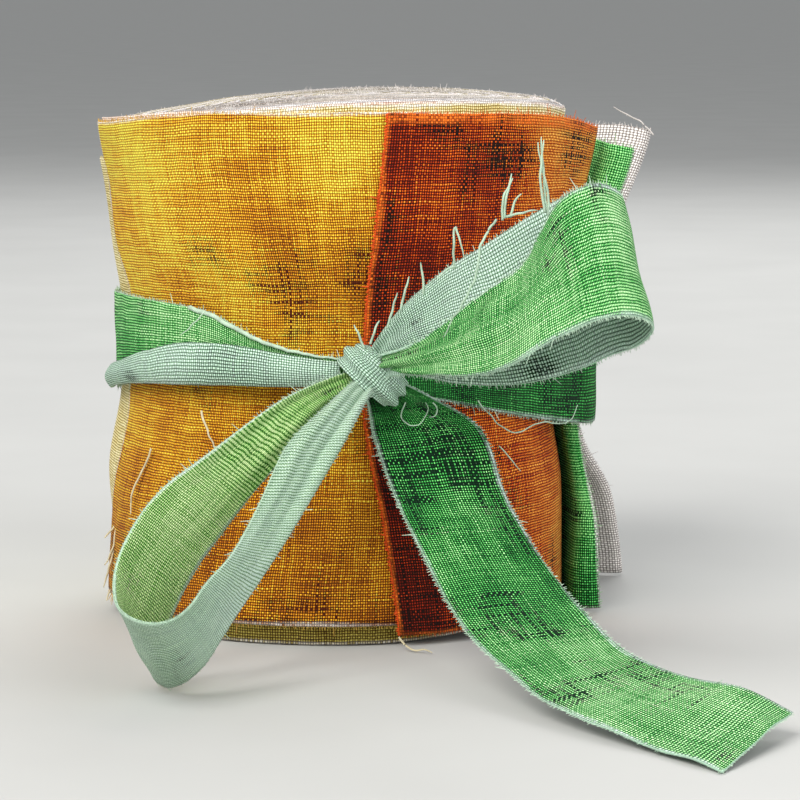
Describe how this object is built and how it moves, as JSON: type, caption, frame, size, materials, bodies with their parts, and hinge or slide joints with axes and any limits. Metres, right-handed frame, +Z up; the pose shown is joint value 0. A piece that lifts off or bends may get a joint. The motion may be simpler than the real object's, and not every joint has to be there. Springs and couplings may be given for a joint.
{
  "type": "jelly roll of fabric strips tied with a bow",
  "caption": "Wound roll of cotton fabric strips standing on its edge, held by a narrow strip tied in a bow with one hanging tail.",
  "frame": {"origin": "on the roll's axis, at the surface it stands on", "axes": "+Z up along the roll's axis; -Y towards the bow; +X towards the standing strip ends"},
  "size_m": [0.0825, 0.123, 0.0673],
  "materials": {
    "wound_strips": "plain weave cotton, cut edges showing",
    "yellow_cloth": "plain weave cotton, mottled print",
    "rust_cloth": "plain weave cotton, mottled print",
    "pale_cloth": "plain weave cotton, mottled print",
    "green_cloth": "plain weave cotton, mottled print",
    "linen_cloth": "plain weave cotton, mottled print",
    "tie_cloth": "plain weave cotton, mottled print, torn edges"
  },
  "bodies": {
    "root": {"roll": "wound_strips", "yellow_strip": "yellow_cloth", "rust_strip": "rust_cloth", "pale_strip": "pale_cloth", "green_strip": "green_cloth", "linen_strip": "linen_cloth", "tie": "tie_cloth"}
  },
  "joints": []
}
